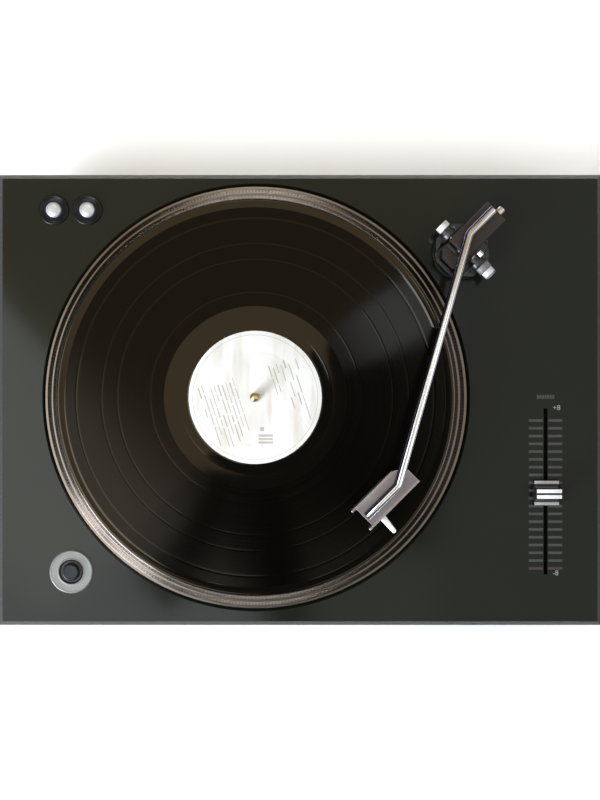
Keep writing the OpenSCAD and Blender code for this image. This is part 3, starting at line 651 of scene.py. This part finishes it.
def make_record(grooved, smooth, quiet):
    """One disc with three finishes: the grooves, the smooth vinyl and the quiet rings between the tracks."""
    section = record_section()
    low_z = low("vinyl_record").z
    rim = section[0][0]
    under = [(bore_r, low_z), (rim - 0.6 * MM, low_z), (rim - 0.2 * MM, low_z + 0.2 * MM),
             (rim, low_z + 0.6 * MM)]
    shape = lathe([(r, z) for r, z, _ in section] + under, 256)
    disc = piece("record_grooved", shape, "turntable", grooved, upright(spindle_at),
                 ["vinyl_record"], 60)
    disc.data.materials.append(smooth.material)
    disc.data.materials.append(quiet.material)
    bands = [r for r, _, is_smooth in section if not is_smooth]
    smooth_rings = [r for r, _, is_smooth in section if is_smooth]
    for face in disc.data.polygons:
        flat = face.center - Vector((spindle_at.x, spindle_at.y, 0))
        distance = math.hypot(flat.x, flat.y)
        nearest_band = min(abs(distance - r) for r in bands)
        nearest_smooth = min(abs(distance - r) for r in smooth_rings)
        if nearest_smooth < nearest_band or face.normal.z < 0.5:
            face.material_index = 2 if 70 * MM < distance < rim - 8 * MM else 1


def make_label(paper, ink):
    top = high("record_label").z
    profile = [(bore_r, top - 0.1 * MM), (label_r, top - 0.1 * MM), (label_r, top - 0.02 * MM),
               (label_r - 0.1 * MM, top), (36 * MM, top), (35.6 * MM, top - 0.03 * MM), (35.2 * MM, top),
               (3.9 * MM, top), (bore_r, top - 0.03 * MM)]
    piece("label_disc", lathe(profile, 192), "turntable", paper, upright(spindle_at),
          ["record_label"])
    random.seed(7)
    film = 0.02 * MM
    height = top + film / 2
    lines = []
    for side, first, rows, share in ((-1, 12 * MM, 10, 0.85), (1, 17 * MM, 8, 0.55)):
        for row in range(rows):
            y = side * (first + row * 3.0 * MM)
            reach = min(math.sqrt((44 * MM) ** 2 - y * y), 21 * MM)
            x = -reach + random.uniform(0, 5) * MM
            while x < reach - 4 * MM:
                width = random.uniform(5, 15) * MM
                if random.random() < share:
                    size = (width, random.uniform(0.5, 1.1) * MM, film)
                    lines.append(block(size, (x + width / 2, y, height), 0))
                x += width + random.uniform(0.8, 2.5) * MM
    bars = [moved(line, Matrix.Rotation(math.radians(-72), 4, "Z")) for line in lines]
    bars += [block((11 * MM, 1.7 * MM, film), (8 * MM, y * MM, height), 0) for y in (-29, -31.6, -34.2)]
    bars.append(block((3 * MM, 3 * MM, film), (5.2 * MM, -24 * MM, height), 0))
    border = block((0.35 * MM, 2.5 * MM, film), (47.4 * MM, 0, height), 0)
    border_count = 120
    bars += [moved(border, Matrix.Rotation(TAU * k / border_count, 4, "Z")) for k in range(border_count)]
    piece("label_print", merged(*bars), "turntable", ink, upright(spindle_at))


def make_spindle(brass):
    lo, hi = low("spindle").z, high("spindle").z
    r = 3.6 * MM
    top = high("record_label").z
    hub = high("rotor_plate").z
    neck = 3.35 * MM
    profile = [(0, lo), (3 * MM, lo), (5 * MM, lo + 2 * MM), (5 * MM, hub), (neck, hub),
               (neck, top + 0.3 * MM), (r - 0.1 * MM, top + 0.3 * MM), (r, top + 0.4 * MM),
               (r, hi - 2.6 * MM), (r - 0.25 * MM, hi - 1.7 * MM), (r - 0.9 * MM, hi - 0.8 * MM),
               (r - 1.9 * MM, hi - 0.2 * MM), (0, hi)]
    piece("spindle_turned", lathe(profile, 64, False), "turntable", brass,
          upright(spindle_at), ["spindle"])


# ---------------------------------------------------------------- controls

def make_start(ring_metal, surround, face):
    bore = 9.3 * MM
    rim = (high("start_ring").x - low("start_ring").x) / 2
    z = deck_z
    foot = low("start_ring").z
    ring = fillet([(bore, foot), (bore + 1 * MM, foot), (bore + 1 * MM, z), (rim, z), (rim, z + 0.8 * MM),
                   (rim - 0.9 * MM, z + 1.6 * MM), (rim - 1.7 * MM, z + 1.35 * MM),
                   (bore + 1.3 * MM, z + 1.25 * MM), (bore + 0.6 * MM, z + 1.6 * MM),
                   (bore, z + 1.0 * MM)], 0.25 * MM)
    piece("start_ring_turned", lathe(ring, 160), "plinth", ring_metal,
          upright(start_at), ["start_ring"])
    lo, hi = low("start_button").z, high("start_button").z
    skirt = 9.0 * MM
    body = fillet([(0, lo), (3 * MM, lo), (3 * MM, z - 3.5 * MM), (skirt, z - 3.5 * MM),
                   (skirt, z - 0.6 * MM), (skirt - 0.5 * MM, z - 0.1 * MM), (7.1 * MM, z - 0.1 * MM),
                   (6.3 * MM, z + 0.2 * MM), (6.1 * MM, hi - 0.7 * MM), (5.6 * MM, hi - 0.35 * MM),
                   (0, hi - 0.6 * MM)], 0.2 * MM, 3, False)
    piece("start_cap", lathe(body, 128, False), "start_button", surround,
          upright(start_at), ["start_button"])
    disc = fillet([(0, hi - 1.2 * MM), (5.9 * MM, hi - 1.2 * MM), (5.9 * MM, hi - 0.5 * MM),
                   (5.4 * MM, hi), (4.6 * MM, hi - 0.15 * MM), (0, hi - 0.3 * MM)], 0.2 * MM, 3, False)
    piece("start_face", lathe(disc, 128, False), "start_button", face, upright(start_at))


def make_speed(number, at, ring_plastic, silver):
    bore = 6.2 * MM
    ring_node, button_node = f"speed_{number}_ring", f"speed_{number}_button"
    rim = (high(ring_node).x - low(ring_node).x) / 2
    z = deck_z
    foot = low(ring_node).z
    ring = fillet([(bore, foot), (bore + 1 * MM, foot), (bore + 1 * MM, z), (rim, z), (rim, z + 1.3 * MM),
                   (rim - 0.7 * MM, z + 2 * MM), (rim - 1.5 * MM, z + 1.7 * MM),
                   (rim - 2.6 * MM, z + 0.9 * MM), (bore + 1.0 * MM, z + 0.3 * MM),
                   (bore, z + 0.3 * MM)], 0.4 * MM, 4)
    piece(f"speed_{number}_dish", lathe(ring, 128), "plinth", ring_plastic, upright(at),
          [ring_node])
    lo, hi = low(button_node).z, high(button_node).z
    r = 5.9 * MM
    crown = 1.9 * MM
    dome = [(0, lo), (2.5 * MM, lo), (2.5 * MM, z - 3 * MM), (r, z - 3 * MM), (r, hi - crown)]
    steps = 9
    for k in range(1, steps + 1):
        angle = math.pi / 2 * k / steps
        across = r * math.cos(angle) ** 0.55 if k < steps else 0
        dome.append((across, hi - crown + crown * math.sin(angle)))
    piece(f"speed_{number}_cap", lathe(dome, 96, False), button_node, silver, upright(at),
          [button_node])


def make_fader(black, white, grey):
    lo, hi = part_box("fader_cap")
    centre = middle("fader_cap")
    half = (hi.y - lo.y) / 2
    height = hi.z - lo.z
    wide = hi.x - lo.x
    shelf = 3.1 * MM
    front = [(0.5 * MM, height), (3.7 * MM, height), (4.2 * MM, height - 0.5 * MM), (5.4 * MM, 5.4 * MM),
             (6.7 * MM, shelf), (half - 0.4 * MM, shelf), (half, shelf - 0.6 * MM), (half, 0)]
    side = fillet([(0, height - 0.8 * MM)] + front + [(-y, z) for y, z in reversed(front)], 0.3 * MM)
    turn = Matrix(((0, 0, 1), (1, 0, 0), (0, 1, 0))).to_4x4()
    place = Matrix.Translation((centre.x, centre.y, lo.z)) @ turn
    shape = prism(side, -wide / 2, wide / 2, 0.25 * MM)
    piece("fader_knob", shape, "pitch_fader", black, place, ["fader_cap"])
    stripes = [block((wide - 0.5 * MM, 2.8 * MM, 0.12 * MM), (centre.x, centre.y + y, lo.z + height),
                     0.05 * MM) for y in (-2.15 * MM, 2.15 * MM)]
    piece("fader_marks", merged(*stripes), "pitch_fader", white)
    bars = [block((wide - 0.7 * MM, 2.4 * MM, 0.12 * MM), (centre.x, centre.y + y, lo.z + shelf), 0.05 * MM)
            for y in (-8.2 * MM, 8.2 * MM)]
    piece("fader_edge_marks", merged(*bars), "pitch_fader", grey)


def make_scale(ink, number_ink, end_ink):
    """The pitch scale: two columns of ticks, a row of marks over them, and a number at each end."""
    film = 0.04 * MM
    z = deck_z + film / 2
    columns = (183.2 * MM, 198.2 * MM)
    first, last, count = -15.9 * MM, -130.75 * MM, 20
    rows = [first + (last - first) * i / (count - 1) for i in range(count)]
    ticks = [block((11.0 * MM, 1.9 * MM, film), (x, y, z), 0) for y in rows[:-1] for x in columns]
    for k in range(-3, 4):
        ticks.append(block((1.5 * MM, 3.0 * MM, film), (slot_at.x + k * 2.0 * MM, 2.4 * MM, z), 0))
    piece("pitch_scale", merged(*ticks), "plinth", ink)
    end = [block((11.0 * MM, 1.9 * MM, film), (x, rows[-1], z), 0) for x in columns]
    piece("pitch_scale_end", merged(*end), "plinth", end_ink)
    for name, text, y in (("scale_plus", "+8", -6.2 * MM), ("scale_minus", "-8", -134.5 * MM)):
        curve = bpy.data.curves.new(name, "FONT")
        curve.body = text
        curve.size = 5.6 * MM
        curve.extrude = film / 2
        curve.align_x = "LEFT"
        curve.align_y = "CENTER"
        obj = bpy.data.objects.new(name, curve)
        obj.location = (slot_at.x + 5.5 * MM, y, z)
        bpy.context.collection.objects.link(obj)
        curve.materials.append(number_ink.material)
        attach(obj, "plinth")


# ---------------------------------------------------------------- tonearm

def make_tube(metal):
    tube_z = middle("arm_tube").z
    r = (high("arm_tube").z - low("arm_tube").z) / 2
    rear_end = rear_bend + Vector((25.5 * MM, 0, 0))
    corners = [Vector((tube_front, front_bend.y, 0)), front_bend, rear_bend, rear_end]
    path = [point + Vector((0, 0, tube_z)) for point in arc_path(corners, 8 * MM, 14)]
    start, end = path[0], path[-1]
    ahead_a, ahead_b = (path[1] - start).normalized(), (path[-2] - end).normalized()
    tips = [0.0, 0.35 * MM, 1.1 * MM]
    sizes = [0.72, 0.93, 1.0]
    full = [start + ahead_a * t for t in tips] + path[1:-1] + [end + ahead_b * t for t in reversed(tips)]
    radii = [r * s for s in sizes] + [r] * (len(path) - 2) + [r * s for s in reversed(sizes)]
    piece("arm_tube_polished", swept(full, radii, 48), "tonearm", metal, arm_place,
          ["arm_tube"])


def along_pivot(at_z):
    """The place of the arm's lift axis, with +Z along the arm frame's +Y."""
    return arm_place @ Matrix.Translation((0, 0, at_z)) @ Matrix.Rotation(-math.pi / 2, 4, "X")


def make_pivot_trim(black, shiny, pale):
    """A collar on the left pivot, a stud, a pale end on the knob, and a bar on the weight's block, made black
    and wide as painted shade for the gap in front of the weight.
    """
    axis_z = (high("pivot_screws").z + low("pivot_screws").z) / 2
    collar = fillet([(1.6 * MM, 9.3 * MM), (3.1 * MM, 9.3 * MM), (3.1 * MM, 13.3 * MM),
                     (1.6 * MM, 13.3 * MM)], 0.4 * MM)
    piece("pivot_collar", lathe(collar, 48), "gimbal", black, along_pivot(axis_z))
    stud = [(0, -13.4 * MM), (1.8 * MM, -13.4 * MM), (2.2 * MM, -13.0 * MM), (2.2 * MM, -9.6 * MM),
            (0, -9.6 * MM)]
    lie_down = Matrix.Rotation(-math.pi / 2, 4, "X")
    offset = arm_place @ Matrix.Translation((5 * MM, 0, axis_z + 2.6 * MM)) @ lie_down
    piece("gimbal_stud", lathe(stud, 40, False), "gimbal", shiny, offset)
    end = [(0, -29.0 * MM), (3.0 * MM, -29.0 * MM), (3.9 * MM, -28.7 * MM), (4.4 * MM, -28.1 * MM),
           (4.75 * MM, -27.0 * MM), (4.75 * MM, -23.4 * MM), (4.62 * MM, -23.2 * MM)]
    piece("knob_end", lathe(end, 64, False), "anti_skate", pale, along_pivot(axis_z))
    plate_top = 115 * MM
    # A boss over the shaft's end, stretched across the plate and made black as painted shade for the shaded
    # gap between the weight's slab and the plate.
    bar = block((2.9 * MM, 13.3 * MM, 3.1 * MM), (-7.75 * MM, 4.65 * MM, plate_top + 1.45 * MM), 0.5 * MM)
    piece("shaft_boss_shade_bar", bar, "tonearm", black, arm_place)


def make_headshell(tan, white, black, screw):
    """The folded shell with its finger lift, and the pickup under it with its bolts, pins and four leads."""
    tube_low = low("arm_tube").z
    place = arm_place @ Matrix.Translation((shell_front, shell_y, 0))
    half, wall = 10 * MM, 1.4 * MM
    roof = prism(fillet([(3.8 * MM, -half + 0.7 * MM), (51.6 * MM, -half + 0.7 * MM), (51.6 * MM, 4.6 * MM),
                         (43 * MM, half - 0.7 * MM), (3.8 * MM, half - 0.7 * MM)], 0.8 * MM, 3),
                 tube_low - 1.5 * MM, tube_low - 0.02 * MM, 0.2 * MM)
    low_z = low("headshell").z
    drop = tube_low - low_z

    def cheek(y, length):
        """A side wall of the shell."""
        outline = fillet([(0, 1.2 * MM), (2.5 * MM, 0), (length * 0.72, 0), (length, drop * 0.55),
                          (length, drop), (0, drop)], 0.9 * MM, 4)
        stand = Matrix.Translation((0, y + wall / 2, low_z)) @ Matrix.Rotation(math.pi / 2, 4, "X")
        return moved(prism(outline, 0, wall, 0.22 * MM), stand)

    left, right = cheek(half - wall / 2, 42.7 * MM), cheek(-half + wall / 2, 52 * MM)
    piece("headshell_folded", merged(roof, left, right), "tonearm", tan, place, ["headshell"])

    lift_turn = Matrix.Rotation(math.radians(-94.5), 4, "Z")
    lift_at = Matrix.Translation((13.2 * MM, -half, tube_low - 8 * MM)) @ lift_turn
    steps = 26
    verts = []
    sides = 20
    for i in range(steps + 1):
        t = i / steps
        x = 15.2 * MM * t - 0.3 * MM
        tip = 1 if t < 0.92 else math.sqrt(max(1 - ((t - 0.92) / 0.09) ** 2, 0.05))
        half_w = (2.5 - 0.9 * t) * MM * tip
        half_t = (0.9 - 0.25 * t) * MM * (1 if t < 0.9 else 0.75)
        lift = (0.9 + 1.4 * t * t) * MM - 0.4 * MM
        for k in range(sides):
            a = TAU * k / sides
            y = half_w * math.copysign(abs(math.cos(a)) ** 0.7, math.cos(a))
            droop = 0.03 * MM * (y / MM) ** 2
            z = lift + half_t * math.copysign(abs(math.sin(a)) ** 0.7, math.sin(a)) - droop
            verts.append((x, y, z))
    piece("finger_lift_curved", (verts, skin(steps + 1, sides)), "tonearm", white,
          place @ lift_at, ["finger_lift"])

    cart_top = tube_low - 1.5 * MM
    cart_low = low("cartridge").z
    nose, tail = 5.2 * MM, 31.2 * MM
    outline = fillet([(nose, cart_top), (nose, cart_low + 6 * MM), (nose + 3 * MM, cart_low),
                      (tail - 4 * MM, cart_low), (tail, cart_low + 4 * MM), (tail, cart_top - 5 * MM),
                      (tail - 2 * MM, cart_top - 4 * MM), (tail - 2 * MM, cart_top)], 0.7 * MM, 3)
    wide = 13.6 * MM
    stand = Matrix.Translation((0, wide / 2, 0)) @ Matrix.Rotation(math.pi / 2, 4, "X")
    shell = moved(prism([(x, z) for x, z in outline], 0, wide, 0.5 * MM), stand)
    bolt_x, bolt_y = 17.7 * MM, 6.35 * MM
    flange = block((12 * MM, 16.4 * MM, 3.2 * MM), (bolt_x, 0, cart_top - 1.6 * MM), 0.4 * MM)
    ribs = [block((9 * MM, 14.2 * MM, 0.5 * MM), (19 * MM, 0, cart_low + z), 0.15 * MM)
            for z in (5.5 * MM, 7 * MM, 8.5 * MM)]
    pins = [swept([(tail - 1 * MM, y, cart_low + z), (tail + 4.6 * MM, y, cart_low + z)], 0.6 * MM, 12)
            for y in (-3 * MM, 3 * MM) for z in (6 * MM, 11 * MM)]
    piece("cartridge_body", merged(shell, flange, *ribs), "tonearm", black, place,
          ["cartridge"])
    piece("cartridge_pins", merged(*pins), "tonearm", screw, place)
    bolt = lathe([(0, cart_top - 5 * MM), (0.5 * MM, cart_top - 5 * MM), (0.5 * MM, cart_top - 4.5 * MM),
                  (1.9 * MM, cart_top - 4.9 * MM), (2.2 * MM, cart_top - 4.5 * MM),
                  (2.2 * MM, cart_top - 3.2 * MM), (1.2 * MM, cart_top - 3.2 * MM),
                  (1.2 * MM, cart_top + 1 * MM), (0, cart_top + 1 * MM)], 32, False)
    bolts = [moved(bolt, Matrix.Translation((bolt_x, y, 0))) for y in (-bolt_y, bolt_y)]
    piece("cartridge_bolts", merged(*bolts), "tonearm", screw, place, ["cartridge_screws"])
    for name, y, z, colour in (("red", -3, 11, (0.5, 0.02, 0.02)), ("green", -3, 6, (0.02, 0.22, 0.06)),
                               ("white", 3, 11, (0.75, 0.75, 0.75)), ("blue", 3, 6, (0.02, 0.06, 0.4))):
        begin = Vector((tail + 1.5 * MM, y * MM, cart_low + z * MM))
        end = Vector((tail + 12 * MM, y * 0.45 * MM, cart_top - 0.4 * MM))
        path = []
        lead_steps = 14
        for k in range(lead_steps + 1):
            t = k / lead_steps
            sag = math.sin(math.pi * t)
            path.append(begin.lerp(end, t) + Vector((2.6 * MM * sag, 0, -2.2 * MM * sag * (1 - t))))
        sleeve = swept([begin - Vector((0.3 * MM, 0, 0)), begin + Vector((3.4 * MM, 0, 0))], 0.85 * MM, 16)
        piece(f"lead_{name}", merged(swept(path, 0.36 * MM, 10), sleeve), "tonearm",
              plain(f"lead_{name}", colour, 0.4), place)


# ---------------------------------------------------------------- build

make_camera()
make_studio()

paint = deck_paint()
black = black_plastic("black_moulding", 0.5)
gloss = black_plastic("gloss_black", 0.18, 0.008)
satin_black = black_plastic("black_metal", 0.3, 0.01)
bright = steel("bright_steel", (0.80, 0.80, 0.80), 0.16)
zinc = steel("zinc_steel")
brass = steel("turned_brass", (0.55, 0.42, 0.22), 0.3)
tan = tan_metal()
weight = weight_paint()
white = plain("white_print", (0.93, 0.93, 0.95), 0.4)
grey_mark = plain("grey_print", (0.42, 0.40, 0.39), 0.45)
scale_ink = plain("scale_ink", (0.048, 0.048, 0.044), 0.5)
number_ink = plain("number_ink", (0.30, 0.30, 0.28), 0.5)
end_ink = plain("end_ink", (0.045, 0.026, 0.025), 0.5)
start_black = black_plastic("start_black", 0.45, 0.004)
start_grey = Surface("start_grey", (0.015, 0.018, 0.023), 0.35, 0.0, Specular_IOR_Level=0.2).smudge(80, 0.05)
dish_black = Surface("dish_black", (0.006, 0.006, 0.006), 0.33, 0.0, Specular_IOR_Level=0.22).smudge(80, 0.05)
shaft_beige = plain("shaft_beige", (0.70, 0.63, 0.54), 0.34, 0.6)
pale_end = plain("pale_end", (0.82, 0.82, 0.82), 0.35, 0.3)
label_ink = plain("label_ink", (0.52, 0.48, 0.44), 0.6)
silver_cap = plain("silver_cap", (0.58, 0.60, 0.63), 0.22, 0.35)
grey_knob = plain("grey_knob", (0.20, 0.20, 0.21), 0.35)
copper = steel("copper_wire", (0.6, 0.3, 0.14), 0.35)
board = plain("board_green", (0.02, 0.10, 0.045), 0.45)
ferrite = plain("ferrite", (0.03, 0.03, 0.033), 0.6)

dress("top_deck", paint)
dress("bottom_cover base_walls base_posts rear_panel foot_front_left foot_front_right foot_rear_left", black)
dress("foot_rear_right terminal_tray start_switch speed_switches fader_lever fader_housing", black)
dress("mains_inlet stylus", black)
dress("foot_pads platter_mat", rubber())
dress("foot_bolts base_screws motor_plate thrust_plate transformer_bracket transformer_core", zinc)
dress("arm_base_nut rotor_plate", zinc)
dress("arm_bearings arm_shaft", bright)
dress("pivot_screws", pale_end, 0.3 * MM)
dress("weight_shaft", shaft_beige, 0.8 * MM)
dress("pivot_nuts", satin_black)
dress("bearing_housing output_jacks", brass)
dress("stator_board main_board", board)
dress("stator_coils transformer_winding", copper)
dress("magnet_ring", ferrite)
dress("arm_base", satin_black, 0.3 * MM)
dress("gimbal_yoke", satin_black, 0.5 * MM)
dress("arm_carrier counterweight", weight, 0.5 * MM)
dress("anti_skate_knob", grey_knob, 0.4 * MM)

make_platter(platter_metal(), plain("strobe_grey", (0.115, 0.096, 0.080), 0.30, 1.0))
make_record(grooved_vinyl(), smooth_vinyl("smooth_vinyl", 0.42), smooth_vinyl("quiet_vinyl", 0.2))
make_label(label_paper(), label_ink)
make_spindle(brass)
make_start(champagne(), start_black, start_grey)
make_speed("33", speed_33_at, dish_black, silver_cap)
make_speed("45", speed_45_at, dish_black, silver_cap)
make_fader(gloss, white, grey_mark)
make_scale(scale_ink, number_ink, end_ink)
make_tube(chrome())
make_pivot_trim(satin_black, bright, pale_end)
make_headshell(tan, white, gloss, bright)
